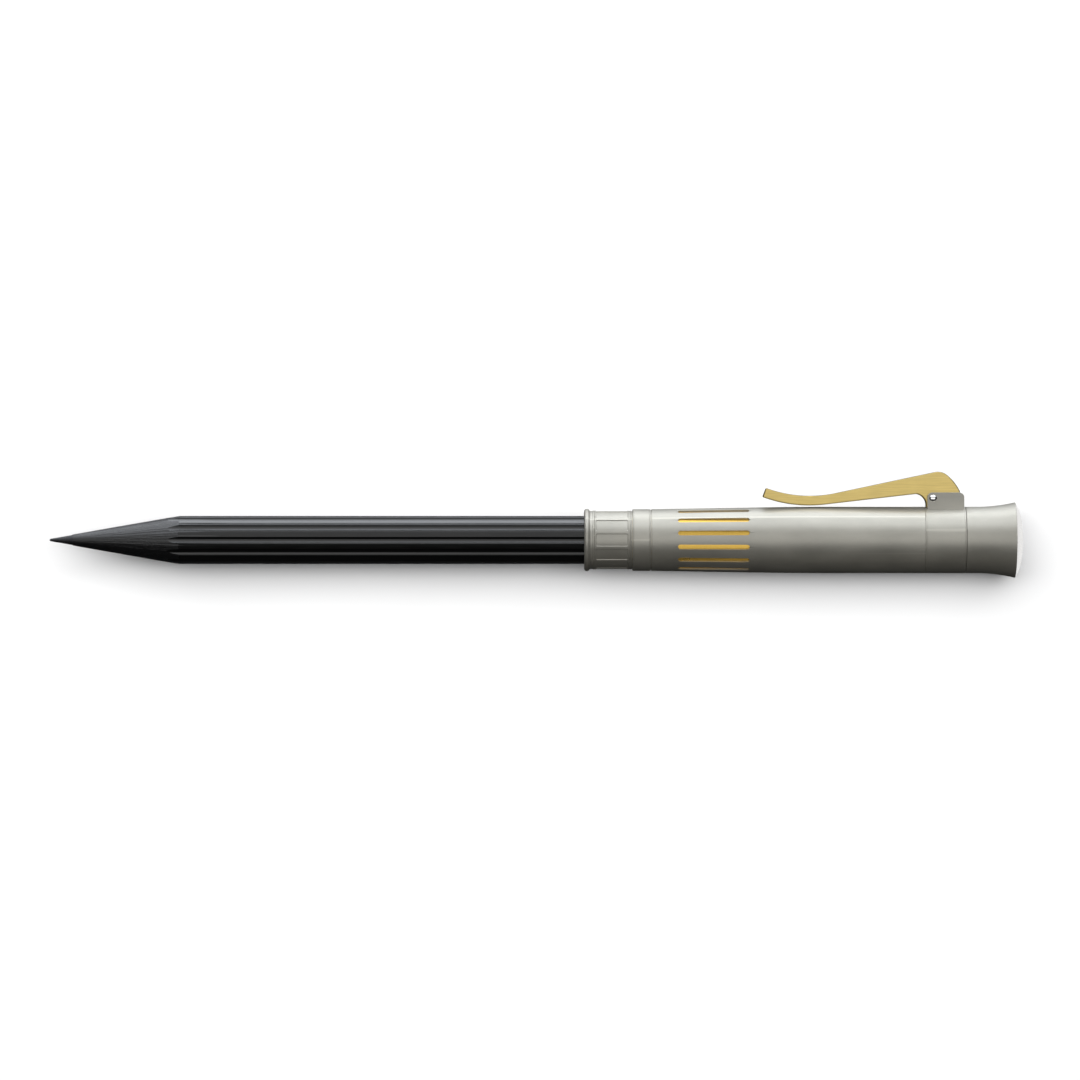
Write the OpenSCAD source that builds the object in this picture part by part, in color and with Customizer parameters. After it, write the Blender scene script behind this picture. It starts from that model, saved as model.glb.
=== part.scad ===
// Pencil extender: a metal holder that grips a fluted wooden pencil, with a sprung pocket clip
// and a pull-out crown that carries a sharpener.
// The writing point is at the origin, +X runs to the crown, +Y to the clip, +Z is up from a table.

/* [Pencil] */
// Diameter across the lands
pencil_d = 7.88; // [7.7:0.02:7.9]
// Full angle of the sharpened point, degrees
point_angle = 20.14; // [19.5:0.02:21]
// Radius of the worn writing point
tip_r = 0.18; // [0.1:0.02:0.3]
// Diameter of the lead
lead_d = 2; // [1.6:0.1:2.4]
// Number of flutes
flute_count = 12; // [8:1:13]
// Radius of the cutter that makes a flute
flute_cutter_r = 0.62; // [0.5:0.02:0.7]
// Depth of a flute
flute_depth = 0.33; // [0.2:0.01:0.36]
// Length of pencil in front of the holder
pencil_reach = 87.08; // [40:0.02:120]
// Length of pencil inside the holder, without its eraser
pencil_inside = 24.9; // [22:0.1:25]

/* [Front collar] */
// Length of the collar
collar_l = 7.86; // [7.5:0.02:9]
// Outer radius over the ribs between the panels
collar_r = 4.8; // [4.75:0.01:4.9]
// Outer radius of the bead at the mouth
bead_r = 5.09; // [5:0.01:5.2]
// Number of finger panels
panel_count = 12; // [8:1:14]
// Depth of a finger panel
panel_depth = 0.1; // [0.05:0.01:0.12]
// Length of the plain ring behind the collar
ring_l = 2.88; // [2:0.02:5]

/* [Barrel] */
// Outer radius at the front
barrel_r1 = 5.03; // [5:0.01:5.1]
// Outer radius at the back
barrel_r2 = 5.4; // [5.35:0.01:5.6]
// Length from the plain ring to the clip band
barrel_l = 44.44; // [44:0.02:50]
// Number of long slots
slot_count = 14; // [8:1:16]
// Width of a slot
slot_w = 0.8; // [0.5:0.05:1]
// Length of a slot
slot_l = 11.64; // [8:0.02:13]
// Length of the clip band
band_l = 6.71; // [6.7:0.01:7]

/* [Clip] */
// Width of the clip
clip_w = 3; // [2.6:0.1:3]
// Thickness of the clip's curved front
clip_t = 1.57; // [1.4:0.01:1.6]
// Slope of the clip's back, degrees
clip_rise = 11.95; // [11.8:0.05:12.1]
// Slope of the clip's underside, degrees
clip_under = 7.5; // [7:0.1:8]

/* [Crown] */
// Length of the crown without its end disc
crown_l = 8.09; // [7.8:0.01:9]
// Radius of the crown's rim
crown_rim_r = 6.165; // [6:0.005:6.4]
// Height of the domed end disc
disc_h = 1.2; // [1:0.05:1.4]

/* [Hidden] */
round_fn = 96;
wire_fn = 8;
hair = 0.01;            // gap between pieces that are glued or pressed together
joint_gap = 0.02;       // gap along the axis between turned pieces
end_gap = 0.05;         // clearance along the axis at a blind end
fit_gap = 0.05;         // radial clearance of a sliding fit
past = 1;               // how far a cutter runs past what it cuts
overlap = 0.1;          // how far the solids of one piece run into each other
edge = 0.06;            // chamfer on the turned edges of the holder

// Stations along the axis
collar_x = pencil_reach;
ring_x = collar_x + collar_l;
ring_neck_l = 0.2;      // neck of the plain ring that the barrel butts against
barrel_x = ring_x + ring_l + ring_neck_l + 2 * joint_gap;
band_x = barrel_x + barrel_l;
crown_x = band_x + band_l;
rim_x = crown_x + crown_l;
slot_setback = 4.24;    // from the barrel's front end to its slots
slot_x = barrel_x + slot_setback;

// Pencil
cone_slope = tan(point_angle / 2);
apex_x = -tip_r / cone_slope;
pencil_r = pencil_d / 2;
flute_centre_r = pencil_r - flute_depth + flute_cutter_r;
casing_x2 = collar_x + pencil_inside;
spigot_l = 3;           // stretch of the casing turned down for the ferrule
ferrule_x = casing_x2 - spigot_l;
spigot_r = 3.45;
ferrule_r = 3.7;
ferrule_l = 6;
eraser_x2 = casing_x2 + 6.2;
cap_wall = 0.19;
cap_end = 0.5;
cap_x1 = ferrule_x + 0.3;
cap_x2 = eraser_x2 + 0.4 + cap_end;

// Holder
collar_wall = 0.33;     // left between a finger panel and the bore
insert_r = collar_r - panel_depth - collar_wall;
lip_l = 0.92;
insert_x1 = collar_x + lip_l + joint_gap;
insert_x2 = collar_x + 6.1;
insert_slit_w = 0.5;
insert_slit_l = 4.2;
lip_r = pencil_r + 0.08;
spine_r1 = 4.15;
spine_r2 = 4.5;
spine_x1 = collar_x + 6.25;
spine_x2 = barrel_x + 25;
front_bore_r = spine_r2 + joint_gap;
core_r = 4.9;           // the inner tube's wider stretch, which shows through the slots
core_bore_r = core_r + joint_gap;
rear_bore_r = 4.8;
taper_lead_in = 0.9;
taper_l = 27;
taper_power = 1.5;
taper_steps = 10;
seat_r = 5.1;

// Clip and its hinge
ear_x1 = band_x + 0.42;
ear_l = 6;
ear_top = 7.73;
ear_foot = 4.92;
ear_corner_r = 0.8;
ear_t = 0.5;
pin_x = band_x + 1.35;
pin_y = 6.73;
pin_r = 0.5;
pin_head_r = 0.62;
clip_inner_r = 20.4;
clip_low_x = band_x - 18.7;
clip_low_y = 5.63;
clip_centre_y = clip_low_y + clip_t + clip_inner_r;
clip_tip_angle = -20.4;
front_steps = 14;
shoulder_x = pin_x + 0.81;
shoulder_r = 2.4;
shoulder_steps = 8;
shoulder_turn = 40;
tail_r = 8;
tail_turn = 64;
tail_steps = 5;
heel_r = 1.8;
heel_x = band_x + 0.25;
heel_y = 5.72;
heel_turn = 82;
foot_x = pin_x - 0.3;   // the foot runs from the heel to here
foot_y = 4.9;
foot_gap = 0.07;        // between the foot of the clip and the band
arch_x = pin_x + 0.2;   // the underside behind the foot rises slowly, then to the tail
arch_l = 3.4;
arch_rise = 0.62;
tail_x = pin_x + 4.35;
tail_y = heel_y + 1.2;
hinge_gap = 0.04;       // radial clearance of the clip on its pin
spring_x = band_x + 4.2;
spring_r = 0.5;
wire_r = 0.12;
spring_turns = 5;
spring_pocket_r = 0.8;
spring_y1 = barrel_r2 + 0.02;
spring_y2 = 8.5;

// Crown and sharpener
flare_x = crown_x + 1.79;
flare_l = rim_x - flare_x;
flare_h = crown_rim_r - barrel_r2;
flare_r = (flare_l * flare_l + flare_h * flare_h) / (2 * flare_h);
disc_r = crown_rim_r - 0.16;
rim_edge = 0.15;        // chamfer on the crown's rim
disc_plug_r = 5.5;
disc_plug_l = 0.8;
disc_flat_r = 2;
dome_power = 3.3;
dome_steps = 10;
stud_r = 4;
stud_x2 = crown_x + 3.2;
carrier_r = rear_bore_r - fit_gap;
carrier_x = crown_x - 6.2;
socket_r = 3;
socket_l = 2;
relief_l = 5.2;
oring_x = carrier_x + 3.6;
oring_wire_r = 0.39;
oring_centre_r = rear_bore_r - hair - oring_wire_r;
sharpener_l = 17.5;
sharpener_x = carrier_x - sharpener_l;
sharpener_r = 4.6;
mouth_r = 4;
relief_r = 1;
blade_drop = 0.25;      // how far the blade's bed lies inside the cone
blade_t = 0.45;
blade_w = 3.1;
blade_reach = 4.65;
blade_x1 = 2.4;         // along the bed from the sharpener's mouth
blade_x2 = 16.4;
screw_along = 13.7;
screw_z = -2.1;
screw_r = 0.35;
screw_head_r = 0.75;
screw_head_t = 0.4;
screw_l = 1.6;

// Turns a half profile, drawn with X as the radius and Y as the place along the axis.
module turned() {
    rotate([0, 90, 0]) rotate_extrude($fn = round_fn) children();
}

module tube(x1, x2, r1, r2) {
    turned() translate([r1, x1]) square([r2 - r1, x2 - x1]);
}

module rod(x1, x2, r) {
    tube(x1, x2, 0, r);
}

// Copies a child that faces +Z around the axis.
module around(count, first = 0) {
    for (i = [0 : count - 1]) rotate([first + i * 360 / count, 0, 0]) children();
}

// Rounded rectangle from the low corner, with all four corners of one radius.
module rounded_rect(l, w, r) {
    translate([r, 0]) square([l - 2 * r, w]);
    translate([0, r]) square([l, w - 2 * r]);
    for (x = [r, l - r], y = [r, w - r]) translate([x, y]) circle(r, $fn = round_fn);
}

function arc(cx, cy, r, a1, a2, steps) =
    [for (i = [0 : steps]) let (a = a1 + (a2 - a1) * i / steps) [cx + r * cos(a), cy + r * sin(a)]];

// ---- Pencil ----

// Everything that is left once the pencil has been sharpened.
module sharpened_envelope() {
    wide = pencil_d;
    turned() polygon([[0, apex_x], [wide, apex_x + wide / cone_slope], [wide, casing_x2 + past],
                      [0, casing_x2 + past]]);
}

module pencil_casing() {
    color("#1b1b1d") difference() {
        intersection() {
            rod(0, casing_x2, pencil_r);
            sharpened_envelope();
        }
        around(flute_count) translate([-past, 0, flute_centre_r]) rotate([0, 90, 0])
            cylinder(h = casing_x2 + 2 * past, r = flute_cutter_r, $fn = round_fn);
        rod(-past, casing_x2 + past, lead_d / 2 + hair);
        tube(ferrule_x, casing_x2 + past, spigot_r, pencil_d);
    }
}

module pencil_lead() {
    color("#3a3a3c") intersection() {
        rod(0, casing_x2, lead_d / 2);
        sharpened_envelope();
    }
}

module ferrule() {
    color("#b9b9b6") tube(ferrule_x + hair, ferrule_x + ferrule_l, spigot_r + hair, ferrule_r);
}

module eraser() {
    color("#2a2a2a") rod(casing_x2 + hair, eraser_x2, spigot_r);
}

module eraser_cap() {
    cap_r = ferrule_r + fit_gap;
    color("#c4c2bc") difference() {
        rod(cap_x1, cap_x2, cap_r + cap_wall);
        rod(ferrule_x, cap_x2 - cap_end, cap_r);
    }
}

// ---- Holder ----

// A bead, a hollow neck, a ridge with a fine line behind it, the panels' face, and at the back
// a groove with a small round bulge in it.
module collar_profile() {
    neck_r = collar_r - 0.07;
    groove_r = collar_r - 0.1;
    under_bead_r = neck_r - 0.2;
    bead_wire = 0.455;
    neck_end = 1.38;
    line_x = 1.69;
    line_w = 0.06;
    face_end = collar_l - 0.62;
    groove_x = collar_l - 0.56;
    bulge_r = 0.12;
    bore_end = spine_x1 - collar_x - joint_gap;
    polygon([[lip_r, 0], [under_bead_r, 0], [under_bead_r, bead_wire], [neck_r, bead_wire],
             [neck_r, neck_end], [collar_r, neck_end], [collar_r, line_x - line_w / 2], [neck_r, line_x],
             [collar_r, line_x + line_w / 2], [collar_r, face_end], [groove_r, groove_x],
             [groove_r, collar_l], [front_bore_r, collar_l], [front_bore_r, bore_end],
             [insert_r + hair, bore_end], [insert_r + hair, lip_l], [lip_r, lip_l]]);
    translate([bead_r - bead_wire, bead_wire]) circle(bead_wire, $fn = round_fn);
    translate([groove_r - bulge_r / 3, (groove_x + collar_l) / 2]) circle(bulge_r, $fn = round_fn);
}

module finger_panels() {
    front_margin = 1.8;
    back_margin = 0.7;
    rib_w = 0.4;
    corner_r = 0.3;
    panel_l = collar_l - front_margin - back_margin;
    panel_w = 2 * PI * collar_r / panel_count - rib_w;
    difference() {
        around(panel_count) translate([collar_x + front_margin, -panel_w / 2, 0])
            linear_extrude(2 * collar_r) rounded_rect(panel_l, panel_w, corner_r);
        rod(0, ring_x, collar_r - panel_depth);
    }
}

module front_collar() {
    color("#9c9992") difference() {
        turned() translate([0, collar_x]) collar_profile();
        finger_panels();
    }
}

module grip_insert() {
    color("#303030") difference() {
        tube(insert_x1, insert_x2, pencil_r + fit_gap, insert_r);
        around(4, 45) translate([insert_x1 - past, -insert_slit_w / 2, 0])
            cube([insert_slit_l + past, insert_slit_w, 2 * collar_r]);
    }
}

module plain_ring() {
    end_x = ring_l + ring_neck_l;
    color("#a09d96") turned() translate([0, ring_x + joint_gap])
        polygon([[front_bore_r, 0], [barrel_r1 - edge, 0], [barrel_r1, edge], [barrel_r1, ring_l - edge],
                 [barrel_r1 - edge, ring_l], [barrel_r1 - 2 * edge, end_x], [front_bore_r, end_x]]);
}

// Behind a short straight lead-in, the barrel grows to its back radius along a fading curve.
function taper_points() =
    [for (i = [0 : taper_steps]) let (t = i / taper_steps)
        [barrel_r1 + (barrel_r2 - barrel_r1) * (1 - pow(1 - t, taper_power)), taper_lead_in + t * taper_l]];

module slots() {
    around(slot_count, 180 / slot_count) translate([slot_x, -slot_w / 2, spine_r1])
        linear_extrude(2 * barrel_r2) {
            translate([slot_w / 2, 0]) square([slot_l - slot_w, slot_w]);
            for (x = [slot_w / 2, slot_l - slot_w / 2]) translate([x, slot_w / 2])
                circle(slot_w / 2, $fn = round_fn);
        }
}

module barrel() {
    step_x = spine_x2 - barrel_x + end_gap;
    end_x = barrel_l + band_l - 2 * joint_gap;
    color("#9c9992") difference() {
        turned() translate([0, barrel_x])
            polygon(concat([[core_bore_r, 0], [barrel_r1 - edge, 0], [barrel_r1, edge]], taper_points(),
                           [[barrel_r2, barrel_l - edge], [barrel_r2 - edge, barrel_l],
                            [seat_r, barrel_l], [seat_r, end_x], [rear_bore_r, end_x],
                            [rear_bore_r, step_x], [core_bore_r, step_x]]));
        slots();
    }
}

// A tube that the collar screws onto, wider where it fills the barrel.
module inner_tube() {
    color("#c9a84c") {
        tube(spine_x1, barrel_x + overlap, spine_r1, spine_r2);
        tube(barrel_x, spine_x2, spine_r1, core_r);
    }
}

module ear() {
    translate([ear_x1, ear_foot, clip_w / 2 + fit_gap]) linear_extrude(ear_t) difference() {
        union() {
            square([ear_l, ear_top - ear_foot - ear_corner_r]);
            translate([ear_corner_r, 0]) square([ear_l - 2 * ear_corner_r, ear_top - ear_foot]);
            for (x = [ear_corner_r, ear_l - ear_corner_r])
                translate([x, ear_top - ear_foot - ear_corner_r]) circle(ear_corner_r, $fn = round_fn);
        }
        translate([pin_x - ear_x1, pin_y - ear_foot]) circle(pin_r + hair, $fn = round_fn);
    }
}

module clip_band() {
    end_x = band_l - 4 * joint_gap;
    color("#a3a098") {
        turned() translate([0, band_x + joint_gap])
            polygon([[seat_r + hair, 0], [barrel_r2 - edge, 0], [barrel_r2, edge],
                     [barrel_r2, end_x - edge], [barrel_r2 - edge, end_x], [seat_r + hair, end_x]]);
        ear();
        mirror([0, 0, 1]) ear();
    }
}

module clip_pin() {
    outside = clip_w / 2 + fit_gap + ear_t;
    head_h = 0.25;
    color("#e2e0da") translate([pin_x, pin_y, 0]) {
        cylinder(h = 2 * outside, r = pin_r, center = true, $fn = round_fn);
        for (side = [0, 1]) mirror([0, 0, side]) translate([0, 0, outside + hair])
            rotate_extrude($fn = round_fn)
                polygon([[0, -2 * hair], [pin_r, -2 * hair], [pin_r, 0], [pin_head_r, 0],
                         [pin_head_r, head_h / 2], [pin_r, head_h], [0, head_h]]);
    }
}

function ring_of_wire(turn) =
    let (a = 360 * turn, lift = (spring_y2 - spring_y1 - 2 * wire_r) * turn / spring_turns + wire_r)
    [for (k = [0 : wire_fn - 1]) let (b = 360 * k / wire_fn, r = spring_r + wire_r * cos(b))
        [r * cos(a), r * sin(a), lift + wire_r * sin(b)]];

// A coil standing on Z, swept ring by ring along its wire.
module coil() {
    steps = spring_turns * 16;
    rings = [for (i = [0 : steps]) each ring_of_wire(i * spring_turns / steps)];
    sides = [for (i = [0 : steps - 1], k = [0 : wire_fn - 1]) let (n = (k + 1) % wire_fn)
        [i * wire_fn + k, i * wire_fn + n, (i + 1) * wire_fn + n, (i + 1) * wire_fn + k]];
    ends = [[for (k = [wire_fn - 1 : -1 : 0]) k], [for (k = [0 : wire_fn - 1]) steps * wire_fn + k]];
    polyhedron(rings, concat(sides, ends), convexity = 4);
}

module clip_spring() {
    color("#8d8d8d") translate([spring_x, spring_y1, 0]) rotate([-90, 0, 0]) coil();
}

// ---- Clip ----

// Side outline: a curved front of even thickness, a wedge, a rounded shoulder and a tail behind the pin.
function clip_outline() =
    let (
        outer_r = clip_inner_r + clip_t,
        underside = arc(clip_low_x, clip_centre_y, outer_r, 270 + clip_tip_angle, 270 + clip_under,
                        front_steps),
        back = arc(clip_low_x, clip_centre_y, clip_inner_r, 270 + clip_rise, 270 + clip_tip_angle,
                   front_steps),
        shoulder_y = back[0][1] + (shoulder_x - back[0][0]) * tan(clip_rise) - shoulder_r / cos(clip_rise),
        shoulder = arc(shoulder_x, shoulder_y, shoulder_r, 90 + clip_rise, 90 - shoulder_turn,
                       shoulder_steps),
        join = shoulder[shoulder_steps],
        join_a = 90 - shoulder_turn,
        tail = arc(join[0] - tail_r * cos(join_a), join[1] - tail_r * sin(join_a), tail_r,
                   join_a, 90 - tail_turn, tail_steps),
        heel = arc(heel_x - heel_r, heel_y, heel_r, heel_turn, 0, shoulder_steps),
        foot = [[heel_x, foot_y], [foot_x, foot_y], [arch_x, heel_y],
                [arch_x + arch_l, heel_y + arch_rise], [tail_x, tail_y]]
    )
    concat(underside, heel, foot, [for (i = [tail_steps : -1 : 1]) tail[i]],
           [for (i = [shoulder_steps : -1 : 0]) shoulder[i]], back);

module clip() {
    color("#c8ab5a") difference() {
        translate([0, 0, -clip_w / 2]) linear_extrude(clip_w) polygon(clip_outline());
        translate([pin_x, pin_y, 0])
            cylinder(h = 2 * clip_w, r = pin_r + hinge_gap, center = true, $fn = round_fn);
        translate([spring_x, 0, 0]) rotate([-90, 0, 0])
            cylinder(h = spring_y2 + end_gap, r = spring_pocket_r, $fn = round_fn);
        rod(heel_x - past, pin_x + past, barrel_r2 + foot_gap);
    }
}

// ---- Crown ----

module crown() {
    color("#9c9992") difference() {
        turned() {
            translate([0, crown_x]) square([barrel_r2, flare_x - crown_x]);
            difference() {
                translate([0, flare_x]) square([crown_rim_r, flare_l]);
                translate([barrel_r2 + flare_r, flare_x]) circle(flare_r, $fn = 4 * round_fn);
            }
        }
        rod(crown_x - past, stud_x2 + end_gap, stud_r + hair);
        rod(rim_x - disc_plug_l - end_gap, rim_x + past, disc_plug_r + hair);
        turned() polygon([[crown_rim_r - rim_edge, rim_x + hair], [crown_rim_r + hair, rim_x - rim_edge],
                          [crown_rim_r + hair, rim_x + hair]]);
    }
}

// The dome falls slowly from a small flat and then quickly to its edge.
function dome_points() =
    [for (i = [dome_steps : -1 : 0]) let (r = disc_flat_r + (disc_r - disc_flat_r) * i / dome_steps)
        [r, rim_x + (i == 0 ? disc_h : hair + (disc_h - hair) * (1 - pow(r / disc_r, dome_power)))]];

module crown_disc() {
    color("#e9e8e4") turned() {
        translate([0, rim_x - disc_plug_l]) square([disc_plug_r, disc_plug_l + overlap]);
        polygon(concat([[0, rim_x + hair]], dome_points(), [[0, rim_x + disc_h]]));
    }
}

module sharpener_carrier() {
    groove_r = oring_centre_r - oring_wire_r - hair;
    groove_w = 2 * oring_wire_r + 0.1;
    color("#8f8c85") difference() {
        union() {
            rod(carrier_x, crown_x - joint_gap, carrier_r);
            rod(crown_x - overlap, stud_x2, stud_r);
        }
        rod(carrier_x - past, carrier_x + socket_l + end_gap, socket_r + hair);
        rod(carrier_x, carrier_x + relief_l, relief_r);
        tube(oring_x - groove_w / 2, oring_x + groove_w / 2, groove_r, carrier_r + past);
    }
}

module spigot_o_ring() {
    color("#161616") turned() translate([oring_centre_r, oring_x]) circle(oring_wire_r, $fn = round_fn);
}

// Places children in the frame of the blade's bed: X along the bed, Y out of it, origin at the mouth.
module on_blade_bed() {
    translate([sharpener_x, mouth_r - blade_drop, 0]) rotate([0, 0, -point_angle / 2]) children();
}

module sharpener_body() {
    cone_end_r = mouth_r - sharpener_l * cone_slope;
    end_x = carrier_x + socket_l;
    bed_margin = 0.6;
    color("#b5b4b0") difference() {
        union() {
            rod(sharpener_x, carrier_x - hair, sharpener_r);
            rod(carrier_x - overlap, end_x, socket_r);
        }
        turned() polygon([[0, sharpener_x - past], [mouth_r + past * cone_slope, sharpener_x - past],
                          [cone_end_r, carrier_x], [cone_end_r, end_x + past], [0, end_x + past]]);
        on_blade_bed() translate([-2 * past, 0, -2 * sharpener_r])
            cube([blade_x2 + bed_margin + 2 * past, 2 * sharpener_r, 4 * sharpener_r]);
        on_blade_bed() translate([screw_along, 0, screw_z]) rotate([90, 0, 0])
            cylinder(h = screw_l + overlap, r = screw_r + hair, $fn = round_fn);
    }
}

module sharpener_blade() {
    color("#cfd1d3") intersection() {
        difference() {
            on_blade_bed() translate([blade_x1, hair, -blade_w])
                cube([blade_x2 - blade_x1, blade_t, blade_w]);
            on_blade_bed() translate([screw_along, -past, screw_z]) rotate([-90, 0, 0])
                cylinder(h = 3 * past, r = screw_r + fit_gap, $fn = round_fn);
        }
        rod(0, crown_x, blade_reach);
    }
}

module blade_screw() {
    color("#a9a9a9") on_blade_bed() translate([screw_along, 0, screw_z]) {
        translate([0, -screw_l, 0]) rotate([-90, 0, 0])
            cylinder(h = screw_l + blade_t + overlap, r = screw_r, $fn = round_fn);
        translate([0, blade_t + 2 * hair, 0]) rotate([-90, 0, 0])
            cylinder(h = screw_head_t, r = screw_head_r, $fn = round_fn);
    }
}

front_collar();
grip_insert();
plain_ring();
barrel();
inner_tube();
clip_band();
clip_pin();
clip_spring();
clip();
pencil_casing();
pencil_lead();
ferrule();
eraser();
eraser_cap();
crown();
crown_disc();
sharpener_carrier();
spigot_o_ring();
sharpener_body();
sharpener_blade();
blade_screw();
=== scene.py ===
"""Looks for the pencil extender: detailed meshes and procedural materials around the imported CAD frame."""
import math

import bmesh
import bpy
import numpy as np
from mathutils import Matrix, Vector


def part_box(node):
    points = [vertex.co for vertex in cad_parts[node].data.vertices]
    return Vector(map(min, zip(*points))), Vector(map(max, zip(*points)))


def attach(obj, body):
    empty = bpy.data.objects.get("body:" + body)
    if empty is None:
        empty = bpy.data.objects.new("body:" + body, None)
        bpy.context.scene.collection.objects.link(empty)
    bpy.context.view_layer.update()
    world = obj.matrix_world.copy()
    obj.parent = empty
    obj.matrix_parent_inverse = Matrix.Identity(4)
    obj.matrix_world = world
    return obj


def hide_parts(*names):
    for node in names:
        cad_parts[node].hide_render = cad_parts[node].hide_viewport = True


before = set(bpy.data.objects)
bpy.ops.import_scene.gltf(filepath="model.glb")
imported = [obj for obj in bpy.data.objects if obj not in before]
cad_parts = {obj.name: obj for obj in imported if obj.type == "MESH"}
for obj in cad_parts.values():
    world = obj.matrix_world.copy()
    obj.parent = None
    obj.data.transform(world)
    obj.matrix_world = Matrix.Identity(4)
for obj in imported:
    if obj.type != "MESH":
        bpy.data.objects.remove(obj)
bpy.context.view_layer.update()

MM = 0.001
RNG_SEED = 7


def node_box(name):
    """Lowest and highest corner of a CAD node, in millimetres."""
    low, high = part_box(name)
    return Vector(low) / MM, Vector(high) / MM


# ---- Driving sizes, in millimetres, read from the frame where it has them ----
CASING_HIGH = node_box("pencil_casing")[1]
LEAD_LOW, LEAD_HIGH = node_box("pencil_lead")
COLLAR_LOW, COLLAR_HIGH = node_box("front_collar")
RING_LOW, RING_HIGH = node_box("plain_ring")
BARREL_LOW, BARREL_HIGH = node_box("barrel")
BAND_LOW, BAND_HIGH = node_box("clip_band")
CLIP_HIGH = node_box("clip")[1]
CROWN_LOW, CROWN_HIGH = node_box("crown")
DISC_LOW, DISC_HIGH = node_box("crown_disc")
CAP_LOW, CAP_HIGH = node_box("eraser_cap")
TIP_X, LEAD_R = LEAD_LOW.x, LEAD_HIGH.y
PENCIL_R = 3.94
BODY_R = 5.40                       # the band, the barrel's rear end and the crown's front end
RIM_R = 6.165
FLOOR_Z = -RIM_R * MM               # in metres
TURNED_SEGMENTS = 256
FULL_TURN = 2 * math.pi


# ---- Mesh helpers ----

def new_mesh(name, verts, faces, material, body, replaces=(), sharp_deg=30):
    """Makes a piece from millimetre points, shades it smooth under sharp_deg and ties it to a body."""
    mesh = bpy.data.meshes.new(name)
    mesh.from_pydata([(x * MM, y * MM, z * MM) for x, y, z in verts], [], faces)
    mesh.validate()
    bm = bmesh.new()
    bm.from_mesh(mesh)
    bmesh.ops.remove_doubles(bm, verts=bm.verts, dist=1e-7)
    bmesh.ops.dissolve_degenerate(bm, edges=bm.edges, dist=1e-8)
    bmesh.ops.recalc_face_normals(bm, faces=bm.faces)
    bm.to_mesh(mesh)
    bm.free()
    mesh.shade_smooth()
    mesh.set_sharp_from_angle(angle=math.radians(sharp_deg))
    obj = bpy.data.objects.new(name, mesh)
    bpy.context.scene.collection.objects.link(obj)
    mesh.materials.append(material)
    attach(obj, body)
    if replaces:
        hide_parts(*replaces)
    return obj


def bevel(obj, width):
    """Rounds a piece's hard edges by a width in millimetres."""
    mod = obj.modifiers.new("edge_round", "BEVEL")
    mod.width = width * MM
    mod.segments = 3
    mod.limit_method = "ANGLE"
    mod.angle_limit = math.radians(50)
    mod.harden_normals = True
    return obj


def true_flats(obj):
    """Shades a piece's wide faces flat up to their narrow edge faces."""
    mod = obj.modifiers.new("true_flats", "WEIGHTED_NORMAL")
    mod.keep_sharp = True
    return obj


def around_x(x, radius, angle):
    """A point at an angle about the axis: 0 faces +Z and 90 degrees faces +Y."""
    return (x, radius * math.sin(angle), radius * math.cos(angle))


def grid_faces(rows, cols, closed_rows=False):
    """Quads of a grid that wraps around its columns, and around its rows too if closed_rows."""
    last = rows if closed_rows else rows - 1
    return [(i * cols + j, i * cols + (j + 1) % cols,
             ((i + 1) % rows) * cols + (j + 1) % cols, ((i + 1) % rows) * cols + j)
            for i in range(last) for j in range(cols)]


def lathe(name, profile, material, body, replaces=(), segments=192, radius=None, sharp_deg=30):
    """Turns a closed (x, r) outline about the axis. radius(x, r, angle) may change each point's radius."""
    angles = [FULL_TURN * j / segments for j in range(segments)]
    verts = [around_x(x, radius(x, r, a) if radius else r, a) for x, r in profile for a in angles]
    faces = grid_faces(len(profile), segments, closed_rows=True)
    return true_flats(new_mesh(name, verts, faces, material, body, replaces, sharp_deg))


def arc(cx, cy, r, start, end, steps):
    """Points on an arc between two angles in degrees."""
    return [(cx + r * math.cos(math.radians(start + (end - start) * i / steps)),
             cy + r * math.sin(math.radians(start + (end - start) * i / steps))) for i in range(steps + 1)]


def smoothstep(low, high, v):
    """Eases from 0 at low to 1 at high."""
    t = min(1.0, max(0.0, (v - low) / (high - low)))
    return t * t * (3 - 2 * t)


# ---- Material helpers ----

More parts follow.
